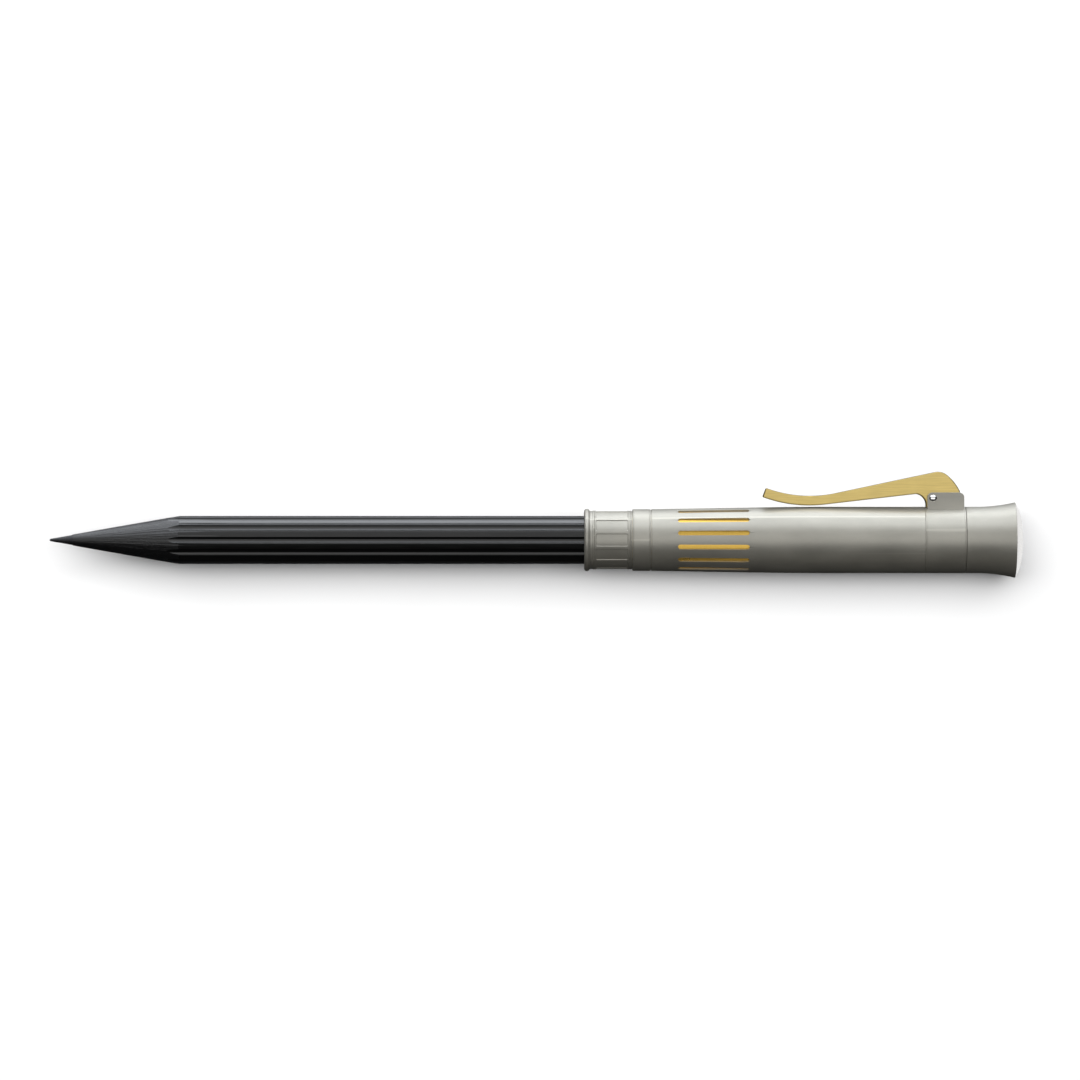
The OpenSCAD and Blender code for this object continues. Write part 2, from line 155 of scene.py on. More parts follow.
class Paint:
    """A Principled material with its node tree, built a node at a time."""

    def __init__(self, name, **sockets):
        self.mat = bpy.data.materials.new(name)
        self.mat.use_nodes = True
        self.tree = self.mat.node_tree
        self.shader = self.tree.nodes["Principled BSDF"]
        for key, value in sockets.items():
            self.shader.inputs[key.replace("_", " ")].default_value = value
        self.coords = self.tree.nodes.new("ShaderNodeTexCoord").outputs["Object"]

    def link(self, out, socket):
        """Joins an output to an input."""
        self.tree.links.new(out, socket)

    def scaled(self, sx, sy, sz):
        """Object coordinates, in metres, times a scale for each axis."""
        node = self.tree.nodes.new("ShaderNodeMapping")
        node.inputs["Scale"].default_value = (sx, sy, sz)
        self.link(self.coords, node.inputs["Vector"])
        return node.outputs["Vector"]

    def noise(self, scale, detail=4.0, rough=0.5, distortion=0.0):
        """Noise in object coordinates, with a scale for each axis."""
        node = self.tree.nodes.new("ShaderNodeTexNoise")
        node.inputs["Scale"].default_value = 1.0
        node.inputs["Detail"].default_value = detail
        node.inputs["Roughness"].default_value = rough
        node.inputs["Distortion"].default_value = distortion
        self.link(self.scaled(*scale), node.inputs["Vector"])
        return node.outputs["Fac"]

    def ramp(self, fac, stops):
        """Colours a value by (place, colour) stops."""
        node = self.tree.nodes.new("ShaderNodeValToRGB")
        ramp = node.color_ramp
        while len(ramp.elements) < len(stops):
            ramp.elements.new(0.5)
        for element, (place, colour) in zip(ramp.elements, stops):
            element.position = place
            element.color = (*colour, 1)
        self.link(fac, node.inputs["Fac"])
        return node.outputs["Color"]

    def spread(self, fac, low, high, from_low=0.3, from_high=0.7):
        """Maps a noise value to a range."""
        node = self.tree.nodes.new("ShaderNodeMapRange")
        limits = {"From Min": from_low, "From Max": from_high, "To Min": low, "To Max": high}
        for key, value in limits.items():
            node.inputs[key].default_value = value
        self.link(fac, node.inputs["Value"])
        return node.outputs["Result"]

    def mix(self, fac, a, b, mode="MIX"):
        """Mixes two colours; each input is a number, a colour or another node's output."""
        node = self.tree.nodes.new("ShaderNodeMix")
        node.data_type = "RGBA"
        node.blend_type = mode
        for source, index in ((fac, 0), (a, 6), (b, 7)):
            if isinstance(source, (int, float)):
                node.inputs[index].default_value = source
            elif isinstance(source, tuple):
                node.inputs[index].default_value = (*source, 1)
            else:
                self.link(source, node.inputs[index])
        return node.outputs[2]

    def bump(self, height, distance_mm, strength, under=None):
        """A bump from a height, on top of the bump under it if there is one."""
        node = self.tree.nodes.new("ShaderNodeBump")
        node.inputs["Strength"].default_value = strength
        node.inputs["Distance"].default_value = distance_mm * MM
        self.link(height, node.inputs["Height"])
        if under is not None:
            self.link(under, node.inputs["Normal"])
        return node.outputs["Normal"]

    def pointiness(self, low, high):
        """0 on flats and 1 on worn outer edges."""
        node = self.tree.nodes.new("ShaderNodeNewGeometry")
        return self.spread(node.outputs["Pointiness"], 0.0, 1.0, low, high)

    def set(self, **outputs):
        """Joins outputs to the shader's inputs by name and gives back the material."""
        for key, out in outputs.items():
            self.link(out, self.shader.inputs[key.replace("_", " ")])
        return self.mat


def grey_coating(name="grey_coating", shade_tone=1.0):
    """Warm grey satin coating on metal: fine speckle, slight cloudiness, edges rubbed a little brighter; a
    tone under 1 darkens the whole copy as painted shade.
    """
    paint = Paint(name, Metallic=0.55, Coat_Weight=0.12, Coat_Roughness=0.32)
    speckle = paint.noise((9000, 9000, 9000), detail=2.0)
    cloud = paint.noise((140, 260, 260), detail=3.0)
    base = (0.40 * shade_tone, 0.385 * shade_tone, 0.335 * shade_tone)
    light = tuple(min(1.0, c * 1.09) for c in base)
    dark = tuple(c * 0.93 for c in base)
    body = paint.ramp(cloud, [(0.35, dark), (0.65, light)])
    grain = paint.ramp(speckle, [(0.3, (0.94, 0.94, 0.94)), (0.7, (1.0, 1.0, 1.0))])
    colour = paint.mix(1.0, body, grain, "MULTIPLY")
    worn = paint.mix(paint.pointiness(0.52, 0.62), colour, tuple(c * 1.25 for c in base))
    return paint.set(Base_Color=worn, Roughness=paint.spread(cloud, 0.40, 0.47),
                     Normal=paint.bump(speckle, 0.004, 0.5))


def gold_plate(name, rough_low, rough_high, colour=(0.74, 0.52, 0.19), streaks=(300, 9000, 9000)):
    """Satin gold plate with fine brushing along the object."""
    paint = Paint(name, Metallic=1.0)
    brushed = paint.noise(streaks, detail=3.0)
    cloud = paint.noise((200, 200, 200), detail=3.0)
    dark = tuple(c * 0.90 for c in colour)
    light = tuple(min(1.0, c * 1.10) for c in colour)
    tint = paint.ramp(brushed, [(0.3, dark), (0.7, light)])
    edge = paint.mix(paint.pointiness(0.53, 0.66), tint, tuple(min(1.0, c * 1.3) for c in colour))
    return paint.set(Base_Color=edge, Roughness=paint.spread(cloud, rough_low, rough_high),
                     Normal=paint.bump(brushed, 0.003, 0.4))


def black_wood():
    """Through-dyed black wood under a thin satin lacquer, grain along the pencil."""
    paint = Paint("black_wood", Coat_Weight=1.0, Coat_Roughness=0.09, Coat_IOR=1.5, Specular_IOR_Level=0.2)
    grain = paint.noise((260, 5200, 5200), detail=6.0, rough=0.6, distortion=0.4)
    pores = paint.noise((900, 16000, 16000), detail=2.0)
    colour = paint.ramp(grain, [(0.25, (0.0015, 0.0015, 0.0015)), (0.6, (0.0045, 0.0045, 0.004)),
                                (0.85, (0.012, 0.0115, 0.010))])
    fine = paint.bump(pores, 0.006, 0.35)
    return paint.set(Base_Color=colour, Roughness=paint.spread(grain, 0.30, 0.46),
                     Normal=paint.bump(grain, 0.010, 0.5, fine))


def cut_wood():
    """The sharpened cone: bare black wood, torn fibres and faint scratches from the blade."""
    paint = Paint("cut_wood", Specular_IOR_Level=0.7)
    fibres = paint.noise((420, 3600, 3600), detail=8.0, rough=0.68, distortion=1.2)
    torn = paint.noise((1500, 2600, 2600), detail=6.0, rough=0.7, distortion=2.0)
    colour = paint.ramp(fibres, [(0.30, (0.002, 0.002, 0.002)), (0.58, (0.008, 0.008, 0.0085)),
                                 (0.82, (0.040, 0.040, 0.042))])
    first = paint.bump(torn, 0.05, 0.8)
    return paint.set(Base_Color=colour, Roughness=paint.spread(torn, 0.22, 0.50),
                     Normal=paint.bump(fibres, 0.06, 0.8, first))


def graphite():
    """Sharpened lead: dark grey with a metallic sheen and turning marks."""
    paint = Paint("graphite", Metallic=0.35)
    marks = paint.noise((5200, 1500, 1500), detail=5.0, rough=0.6)
    colour = paint.ramp(marks, [(0.3, (0.012, 0.012, 0.014)), (0.75, (0.045, 0.045, 0.048))])
    return paint.set(Base_Color=colour, Roughness=paint.spread(marks, 0.34, 0.55),
                     Normal=paint.bump(marks, 0.012, 0.6))


def bright_metal(name, colour, rough_low, rough_high, streaks=(6000, 600, 600), bump_mm=0.002):
    """Polished or brushed metal; the streaks' scales set the direction of the brushing."""
    paint = Paint(name, Metallic=1.0)
    brushed = paint.noise(streaks, detail=4.0)
    smear = paint.noise((320, 320, 320), detail=3.0)
    tint = paint.ramp(brushed, [(0.3, tuple(c * 0.93 for c in colour)), (0.7, colour)])
    return paint.set(Base_Color=tint, Roughness=paint.spread(smear, rough_low, rough_high),
                     Normal=paint.bump(brushed, bump_mm, 0.35))


def soft_material(name, dark, light, rough_low, rough_high, grain=6000):
    """Rubber or moulded plastic with a fine matte grain."""
    paint = Paint(name)
    fine = paint.noise((grain, grain, grain), detail=3.0)
    cloud = paint.noise((300, 300, 300), detail=3.0)
    return paint.set(Base_Color=paint.ramp(cloud, [(0.35, dark), (0.65, light)]),
                     Roughness=paint.spread(fine, rough_low, rough_high), Normal=paint.bump(fine, 0.006, 0.6))


def paper():
    """Matte near-white with a trace of cloudiness."""
    paint = Paint("floor_white", Roughness=0.9, Specular_IOR_Level=0.0)
    cloud = paint.noise((30, 30, 30), detail=2.0)
    return paint.set(Base_Color=paint.ramp(cloud, [(0.3, (0.90, 0.90, 0.90)), (0.7, (0.93, 0.93, 0.93))]))


GREY = grey_coating()
# A darker copy of the coating: painted shade on the flat clip ears.
GREY_EAR_SHADED = grey_coating("grey_coating_ear_shaded", 0.86)
GOLD_CLIP = gold_plate("gold_clip", 0.30, 0.38, (0.58, 0.445, 0.165))
GOLD_TUBE = gold_plate("gold_tube", 0.26, 0.34, (0.62, 0.40, 0.085), (9000, 900, 900))
WOOD = black_wood()
CUT = cut_wood()
LEAD = graphite()
POLISHED = bright_metal("polished_metal", (0.90, 0.89, 0.87), 0.10, 0.16)
DISC_METAL = bright_metal("disc_metal", (0.93, 0.92, 0.90), 0.22, 0.30)
STEEL = bright_metal("steel", (0.62, 0.62, 0.61), 0.24, 0.34)
SPRING_STEEL = bright_metal("spring_steel", (0.45, 0.45, 0.46), 0.28, 0.36)
MAGNESIUM = bright_metal("magnesium", (0.66, 0.66, 0.65), 0.34, 0.46, bump_mm=0.006)
RUBBER = soft_material("black_rubber", (0.010, 0.010, 0.010), (0.022, 0.021, 0.020), 0.62, 0.80)
PLASTIC = soft_material("insert_plastic", (0.020, 0.020, 0.021), (0.036, 0.036, 0.036), 0.45, 0.60)


# ---- Pencil ----
FLUTES = 12
FLUTE_DEPTH = 0.33
FLUTE_CUT_R = 0.62
CONE_SLOPE = math.tan(math.radians(10.07))
BLUNT_R = 0.18                      # radius that the cone has at the worn tip
APEX_X = -BLUNT_R / CONE_SLOPE
LEAD_SHOW_R = 0.86
LEAD_SHOW_X = APEX_X + LEAD_SHOW_R / CONE_SLOPE


def fluted_radius(angle):
    """Radius of the pencil's body: flat-topped lands with a scooped flute every 30 degrees."""
    pitch = FULL_TURN / FLUTES
    off = (angle + pitch / 2) % pitch - pitch / 2
    centre = PENCIL_R - FLUTE_DEPTH + FLUTE_CUT_R
    across = centre * math.sin(off)
    if abs(across) >= FLUTE_CUT_R:
        return PENCIL_R
    scooped = centre * math.cos(off) - math.sqrt(FLUTE_CUT_R ** 2 - across ** 2)
    # A small round at the land's corner, so that it catches a highlight.
    soft = 0.028
    gap = scooped - PENCIL_R
    return 0.5 * (scooped + PENCIL_R - math.sqrt(gap * gap + soft * soft))


def wobble(seed, count, smooth):
    """Seeded periodic noise around the pencil, from -1 to 1."""
    rng = np.random.default_rng(seed)
    raw = rng.uniform(-1, 1, count)
    kernel = np.hanning(smooth + 2)[1:-1]
    kernel /= kernel.sum()
    padded = np.concatenate([raw[-smooth:], raw, raw[:smooth]])
    out = np.convolve(padded, kernel, "same")[smooth:-smooth]
    return out / max(abs(out).max(), 1e-9)


def pencil_casing():
    """Fluted casing, with the cone's ragged scallops where the blade ran out through the flutes."""
    cols, cone_rows, body_rows, scrape_bands = 720, 90, 6, 6
    end_x = CASING_HIGH.x
    spigot_x, spigot_r = end_x - 3, 3.45
    lip, scrape_depth = 0.05, 0.018
    ragged = 0.16 * wobble(RNG_SEED, cols, 9) + 0.10 * wobble(RNG_SEED + 1, cols, 31)
    rows = []
    angles = [FULL_TURN * j / cols for j in range(cols)]
    body_r = [fluted_radius(a) for a in angles]
    run_out = [APEX_X + r / CONE_SLOPE + ragged[j] for j, r in enumerate(body_r)]
    lead_line = [LEAD_SHOW_X + 0.22 * w for w in wobble(RNG_SEED + 2, cols, 41)]
    rng = np.random.default_rng(RNG_SEED + 3)
    scrape = [wobble(int(s), cols, 15) for s in rng.integers(1, 999, scrape_bands + 1)]
    for i in range(cone_rows + 1):
        t = i / cone_rows
        band, part = int(t * scrape_bands), (t * scrape_bands) % 1
        this_band, next_band = scrape[band], scrape[min(scrape_bands, band + 1)]
        fade = math.sin(math.pi * t)
        row = []
        for j, a in enumerate(angles):
            x = lead_line[j] + (run_out[j] - lead_line[j]) * t
            edge_r = (lead_line[j] - APEX_X) * CONE_SLOPE + lip
            r = edge_r + (body_r[j] - edge_r) * t
            cut = this_band[j] * (1 - part) + next_band[j] * part
            row.append(around_x(x, r + scrape_depth * fade * cut, a))
        rows.append(row)
    for i in range(1, body_rows + 1):
        t = (i / body_rows) ** 1.3
        rows.append([around_x(run_out[j] + (spigot_x - run_out[j]) * t, body_r[j], a)
                     for j, a in enumerate(angles)])
    bore_r = LEAD_R + 0.01
    for x, r in ((spigot_x, spigot_r), (end_x, spigot_r), (end_x, bore_r)):
        rows.append([around_x(x, r, a) for a in angles])
    rows.append([around_x(APEX_X + bore_r / CONE_SLOPE + 0.6, bore_r, a) for a in angles])
    rows.append([around_x(x, (x - APEX_X) * CONE_SLOPE, a) for x, a in zip(lead_line, angles)])
    verts = [v for row in rows for v in row]
    obj = new_mesh("pencil_casing_fluted", verts, grid_faces(len(rows), cols, True), WOOD, "pencil",
                   ["pencil_casing"], 24)
    obj.data.materials.append(CUT)
    limit = [x * MM for x in run_out]
    for face in obj.data.polygons:
        c = face.center
        j = int(round((math.atan2(c.y, c.z) % FULL_TURN) / FULL_TURN * cols)) % cols
        face.material_index = 1 if c.x < limit[j] - 1e-6 and face.normal.x < 0.5 else 0
    return obj


def pencil_lead():
    """Lead: a blunt worn point, a long cone with slight blade facets, then the core inside the wood."""
    nose_r, core_r, columns = 0.21, LEAD_R - 0.02, 96
    nose = [(TIP_X + nose_r * (1 - math.cos(math.radians(a))), nose_r * math.sin(math.radians(a)))
            for a in range(4, 76, 8)]
    cone = [(x, (x - APEX_X) * CONE_SLOPE) for x in np.linspace(nose[-1][0] + 0.08, LEAD_SHOW_X + 0.9, 40)]
    core = [(cone[-1][0] + 0.2, core_r), (LEAD_HIGH.x, core_r), (LEAD_HIGH.x, 0.001)]
    flats = wobble(RNG_SEED + 5, columns, 7)

    def uneven(x, r, a):
        j = int(a / FULL_TURN * columns) % columns
        return max(0.0, r - 0.012 * (1 + flats[j]) * smoothstep(0.3, 2.0, x) * (x < LEAD_SHOW_X))

    return lathe("pencil_lead_point", [(TIP_X, 0.0)] + nose + cone + core, LEAD, "pencil",
                 ["pencil_lead"], columns, uneven, 50)


# ---- Holder ----
COLLAR_R = 4.8
PANELS = 12
PANEL_DEPTH = 0.10
PANEL_CORNER_R = 0.30
PANEL_EDGE = 0.075
RIB_W = 0.40
HOLDER_BORE_R = 4.53                # the collar's and the ring's bore, over the inner tube


def rounded_box_distance(x, y, half_x, half_y, corner):
    """Signed distance to a rounded rectangle, negative inside."""
    qx, qy = abs(x) - half_x + corner, abs(y) - half_y + corner
    return math.hypot(max(qx, 0), max(qy, 0)) + min(max(qx, qy), 0) - corner


def front_collar():
    """Collar with a round bead, a hollow neck, a fine ridge, twelve sunk finger panels and a rear groove."""
    x0, x1 = COLLAR_LOW.x, COLLAR_HIGH.x
    bead_r, bead_h, bead_centre_r = 0.455, 0.454, 4.635
    groove_r, insert_r, mouth_r = 4.70, 4.38, 4.02
    turns = [math.radians(a) for a in range(-40, 166, 10)]
    bead = [(x0 + bead_r - bead_r * math.cos(a), bead_centre_r + bead_h * math.sin(a)) for a in turns]
    neck = [(x0 + 0.98, 4.735), (x0 + 1.06, 4.705), (x0 + 1.20, 4.69), (x0 + 1.34, 4.705), (x0 + 1.40, 4.74)]
    ridge = [(x0 + 1.44, 4.79), (x0 + 1.50, COLLAR_R), (x0 + 1.60, COLLAR_R), (x0 + 1.64, 4.77),
             (x0 + 1.68, 4.735), (x0 + 1.72, 4.77), (x0 + 1.76, COLLAR_R)]
    panel_x1, panel_x2 = x0 + 1.76, x1 - 0.64
    face = [(x, COLLAR_R) for x in np.linspace(panel_x1, panel_x2, 130)[1:]]
    rear = [(x1 - 0.60, 4.74), (x1 - 0.54, 4.705), (x1 - 0.42, groove_r), (x1 - 0.38, 4.74),
            (x1 - 0.30, 4.78), (x1 - 0.22, 4.74), (x1 - 0.18, groove_r), (x1, groove_r)]
    insert_x1, insert_x2 = x0 + 0.92, x0 + 6.22
    inner = [(x1, HOLDER_BORE_R), (insert_x2, HOLDER_BORE_R), (insert_x2, insert_r), (insert_x1, insert_r),
             (insert_x1, mouth_r), (x0 + 0.30, mouth_r), (x0 + 0.12, 4.10)]
    pitch = FULL_TURN / PANELS
    half_w = (pitch * COLLAR_R - RIB_W) / 2
    mid_x, half_x = (panel_x1 + panel_x2) / 2 + 0.02, (panel_x2 - panel_x1) / 2 - 0.10

    def sunk(x, r, a):
        if r != COLLAR_R or not panel_x1 < x <= panel_x2:
            return r
        off = (a + pitch / 2) % pitch - pitch / 2
        edge = rounded_box_distance(x - mid_x, off * COLLAR_R, half_x, half_w, PANEL_CORNER_R)
        return r - PANEL_DEPTH * (1 - smoothstep(-PANEL_EDGE, 0.0, edge))

    return lathe("collar_with_panels", bead + neck + ridge + face + rear + inner, GREY, "holder",
                 ["front_collar"], 864, sunk, 34)


def plain_ring():
    """Plain ring behind the collar, with turned edges and a fine line at each side."""
    x0, x1 = RING_LOW.x, RING_HIGH.x
    r = RING_HIGH.z
    main = x1 - 0.20
    line = 0.17
    outline = [(x0, HOLDER_BORE_R), (x0, r - 0.10), (x0 + 0.03, r - 0.04), (x0 + 0.09, r),
               (x0 + line, r), (x0 + line + 0.03, r - 0.03), (x0 + line + 0.06, r)]
    outline += [(main - line - 0.06, r), (main - line - 0.03, r - 0.03), (main - line, r),
                (main - 0.08, r), (main - 0.03, r - 0.03), (main, r - 0.10), (x1, r - 0.12),
                (x1, HOLDER_BORE_R)]
    return lathe("ring_turned", outline, GREY, "holder", ["plain_ring"], TURNED_SEGMENTS)


SLOTS = 14
SLOT_X1 = BARREL_LOW.x + 4.24
SLOT_L = 11.64
SLOT_W = 0.80
SPINE_R = 4.92                      # the barrel's bore where it has slots
REAR_BORE_R = 4.80
REAR_BORE_X = BARREL_LOW.x + 25.1
BAND_SEAT_R = 5.10
TAPER_END_X = BARREL_LOW.x + 28


def barrel_radius(x):
    """Outer radius of the barrel, growing from front to back along a fading curve."""
    front_r, start, length, fading = 5.03, BARREL_LOW.x + 0.9, 27.0, 1.5
    t = min(1.0, max(0.0, (x - start) / length))
    return front_r + (BODY_R - front_r) * (1 - (1 - t) ** fading)


def barrel():
    """Barrel skin built column by column, so that each slot's stadium edge is a true mesh edge."""
    x0, band_x, x_end = BARREL_LOW.x, BAND_LOW.x - 0.02, BARREL_HIGH.x
    pitch = FULL_TURN / SLOTS
    verts, faces, index = [], [], {}

    def vert(x, r, a):
        key = (round(x, 4), round(r, 4), round(math.sin(a), 5), round(math.cos(a), 5))
        if key not in index:
            index[key] = len(verts)
            verts.append(around_x(x, r, a))
        return index[key]

    half_a = 12                     # columns over half a slot's width
    half_gap = 16                   # columns over half the land between two slots
    side_r = barrel_radius(SLOT_X1 + SLOT_L / 2)
    slot_half_angle = SLOT_W / 2 / side_r
    x_left, x_right = SLOT_X1 + SLOT_W / 2, SLOT_X1 + SLOT_L - SLOT_W / 2
    before = [x0 + 0.06 + (SLOT_X1 - x0 - 0.06) * i / 6 for i in range(7)]
    after = [SLOT_X1 + SLOT_L + (TAPER_END_X - SLOT_X1 - SLOT_L) * i / 12 for i in range(13)]
    after += [band_x - 0.06]
    middle = [x_left + (x_right - x_left) * i / 8 for i in range(9)]
    front = [(x0, SPINE_R), (x0, 4.97), (x0 + 0.02, 5.01)]
    rear = [(band_x - 0.02, BODY_R - 0.02), (band_x, BODY_R - 0.06), (band_x, BAND_SEAT_R),
            (x_end, BAND_SEAT_R), (x_end, REAR_BORE_R), (REAR_BORE_X, REAR_BORE_R), (REAR_BORE_X, SPINE_R)]
    for k in range(SLOTS):
        centre = (k + 0.5) * pitch
        # Fractions across the slot, from one side to the other, then the land to the next slot.
        across = [math.sin(math.pi / 2 * i / half_a) for i in range(-half_a, half_a + 1)]
        columns = [(centre + slot_half_angle * f, f) for f in across]
        land = [(centre + slot_half_angle + (pitch - 2 * slot_half_angle) * i / (2 * half_gap), 1.0)
                for i in range(1, 2 * half_gap + 1)]
        strip = columns + land
        for (a1, f1), (a2, f2) in zip(strip, strip[1:]):
            cap1 = math.sqrt(max(0.0, 1 - f1 * f1)) * SLOT_W / 2
            cap2 = math.sqrt(max(0.0, 1 - f2 * f2)) * SLOT_W / 2
            in_slot = a2 <= centre + slot_half_angle + 1e-9

            def quad(p1, p2, q1, q2):
                """A face from two (x, r) points on this column and two on the next."""
                faces.append((vert(*p1[:2], a1), vert(*p2[:2], a1), vert(*q2[:2], a2), vert(*q1[:2], a2)))

            def skin(xs1, xs2):
                """A strip of the outer surface."""
                for i in range(len(xs1) - 1):
                    quad((xs1[i], barrel_radius(xs1[i])), (xs1[i + 1], barrel_radius(xs1[i + 1])),
                         (xs2[i], barrel_radius(xs2[i])), (xs2[i + 1], barrel_radius(xs2[i + 1])))

            def inner(xs1, xs2):
                """A strip of the bore."""
                for i in range(len(xs1) - 1):
                    quad((xs1[i + 1], SPINE_R), (xs1[i], SPINE_R), (xs2[i + 1], SPINE_R), (xs2[i], SPINE_R))

            left1, left2 = before + [x_left - cap1], before + [x_left - cap2]
            right1, right2 = [x_right + cap1] + after, [x_right + cap2] + after
            skin(left1, left2)
            skin(right1, right2)
            inner([x0] + left1[1:], [x0] + left2[1:])
            inner(right1[:-1] + [REAR_BORE_X], right2[:-1] + [REAR_BORE_X])
            if in_slot:
                ends = ((x_left - cap1, x_left - cap2, False), (x_right + cap1, x_right + cap2, True))
                for x1, x2, flip in ends:
                    wall = [(x1, barrel_radius(x1)), (x1, SPINE_R), (x2, barrel_radius(x2)), (x2, SPINE_R)]
                    if flip:
                        wall = [wall[1], wall[0], wall[3], wall[2]]
                    quad(*wall)
            else:
                skin(middle, middle)
                inner(middle, middle)
            for ring in (front + [(before[0], barrel_radius(before[0]))],
                         [(after[-1], barrel_radius(after[-1]))] + rear):
                for (xa, ra), (xb, rb) in zip(ring, ring[1:]):
                    quad((xa, ra), (xb, rb), (xa, ra), (xb, rb))
        for side in (-1, 1):
            a = centre + side * slot_half_angle
            for xa, xb in zip(middle, middle[1:]):
                faces.append((vert(xa, barrel_radius(xa), a), vert(xb, barrel_radius(xb), a),
                              vert(xb, SPINE_R, a), vert(xa, SPINE_R, a)))
    obj = new_mesh("barrel_slotted", verts, faces, GREY, "holder", ["barrel"], 32)
    return true_flats(obj)


def clip_band():
    """Band with a fine line by each edge."""
    x0, x1 = BAND_LOW.x, BAND_HIGH.x
    r = BODY_R
    bore_r = BAND_SEAT_R + 0.01
    line = 0.20
    outline = [(x0, bore_r), (x0, r - 0.07), (x0 + 0.02, r - 0.02), (x0 + 0.06, r), (x0 + line, r),
               (x0 + line + 0.025, r - 0.02), (x0 + line + 0.05, r),
               (x1 - line - 0.05, r), (x1 - line - 0.025, r - 0.02), (x1 - line, r),
               (x1 - 0.06, r), (x1 - 0.02, r - 0.02), (x1, r - 0.07), (x1, bore_r)]
    return lathe("band_turned", outline, GREY, "holder", ["clip_band"], TURNED_SEGMENTS)


def plate(name, outline, z_low, z_high, material, body, edge, replaces=()):
    """Flat plate from an (x, y) outline in millimetres, its edges rounded by edge."""
    n = len(outline)
    verts = [(x, y, z_low) for x, y in outline] + [(x, y, z_high) for x, y in outline]
    faces = [tuple(range(n))[::-1], tuple(range(n, 2 * n))]
    faces += [(i, (i + 1) % n, n + (i + 1) % n, n + i) for i in range(n)]
    return bevel(new_mesh(name, verts, faces, material, body, replaces, 35), edge)


def ears():
    """The two flat ears that carry the clip's pin."""
    x1 = BAND_LOW.x + 0.40
    x2, top, foot, corner = x1 + 6.0, BAND_HIGH.y, 4.93, 0.8
    inner_z, outer_z = 1.55, 2.05
    outline = [(x1, foot), (x2, foot)]
    outline += arc(x2 - corner, top - corner, corner, 0, 90, 10)
    outline += arc(x1 + corner, top - corner, corner, 90, 180, 10)
    for side, name in ((1, "clip_ear_front"), (-1, "clip_ear_back")):
        low, high = sorted((side * inner_z, side * outer_z))
        # The ears take the darker copy of the coating, which is painted shade.
        plate(name, outline, low, high, GREY_EAR_SHADED, "holder", 0.05)


PIN_X = BAND_LOW.x + 1.33
PIN_Y = 6.73


def clip_pin():
    """Pin with a polished domed head at each end."""
    head_r, head_h, shank_r = 0.62, 0.25, 0.50
    dome_r = (head_r ** 2 + head_h ** 2) / (2 * head_h)
    head = [(head_r * t, math.sqrt(dome_r ** 2 - (head_r * t) ** 2) - dome_r + head_h)
            for t in np.linspace(1.0, 0.0, 12)]
    outside = 2.06
    segments = 48
    rings = [(r, -(outside + h)) for r, h in reversed(head)]
    rings += [(shank_r, -outside), (shank_r, outside)]
    rings += [(r, outside + h) for r, h in head]
    angles = [FULL_TURN * j / segments for j in range(segments)]
    verts = [(PIN_X + r * math.cos(a), PIN_Y + r * math.sin(a), z) for r, z in rings for a in angles]
    return new_mesh("pin_domed", verts, grid_faces(len(rings), segments), POLISHED, "holder",
                    ["clip_pin"], 40)


# ---- Clip ----

def clip_outline():
    """Side outline of the clip: curved front, wedge, rounded shoulder, tail and foot."""
    low_x, low_y, thick, inner_r = BAND_LOW.x - 18.72, 5.63, 1.57, 20.4
    centre_y = low_y + thick + inner_r
    rise, under, tip = 11.95, 7.5, -20.4    # degrees from the arc's lowest point
    slope = math.radians(rise)
    underside = arc(low_x, centre_y, inner_r + thick, 270 + tip, 270 + under, 36)
    back = arc(low_x, centre_y, inner_r, 270 + rise, 270 + tip, 36)
    shoulder_r, turn, tail_r = 2.4, 40, 8.0
    sx = PIN_X + 0.81
    sy = back[0][1] + (sx - back[0][0]) * math.tan(slope) - shoulder_r / math.cos(slope)
    shoulder = arc(sx, sy, shoulder_r, 90 + rise, 90 - turn, 24)
    join = shoulder[-1]
    a = math.radians(90 - turn)
    tail_x, tail_y = join[0] - tail_r * math.cos(a), join[1] - tail_r * math.sin(a)
    tail = arc(tail_x, tail_y, tail_r, 90 - turn, 26, 14)
    heel_x, heel_y, heel_r, foot_y = BAND_LOW.x + 0.23, 5.72, 1.8, 5.30
    heel = arc(heel_x - heel_r, heel_y, heel_r, 82, 0, 20)
    foot = [(heel_x, foot_y), (PIN_X - 0.3, foot_y), (PIN_X + 0.2, heel_y), (PIN_X + 3.6, heel_y + 0.62),
            (PIN_X + 4.35, heel_y + 1.2)]
    return underside + heel + foot + tail[::-1] + shoulder[::-1][1:] + back


def clip():
    """Clip cut from plate, its long edges bevelled all round."""
    half = CLIP_HIGH.z
    return plate("clip_bevelled", clip_outline(), -half, half, GOLD_CLIP, "clip", 0.20,
                 ["clip"])


# ---- Crown ----

def crown():
    """Flared crown with a crisp rim and a recess for its disc."""
    x0, x1 = CROWN_LOW.x, CROWN_HIGH.x
    flare_x, r1 = x0 + 1.79, BODY_R
    socket_r, socket_x = 4.01, x0 + 3.25
    recess_r, recess_x = 5.51, x1 - 0.85
    flare_l, flare_h = x1 - flare_x, RIM_R - r1
    flare_r = (flare_l ** 2 + flare_h ** 2) / (2 * flare_h)
    flare = [(x, r1 + flare_r - math.sqrt(flare_r ** 2 - (x - flare_x) ** 2))
             for x in np.linspace(flare_x, x1 - 0.12, 40)]
    outline = [(x0, socket_r), (x0, r1 - 0.07), (x0 + 0.02, r1 - 0.02), (x0 + 0.06, r1)] + flare
    outline += [(x1 - 0.05, RIM_R - 0.035), (x1 - 0.01, RIM_R - 0.07), (x1, RIM_R - 0.12), (x1, recess_r)]
    outline += [(recess_x, recess_r), (recess_x, 0.0), (socket_x, 0.0), (socket_x, socket_r)]
    return lathe("crown_flared", outline, GREY, "crown", ["crown"], TURNED_SEGMENTS)


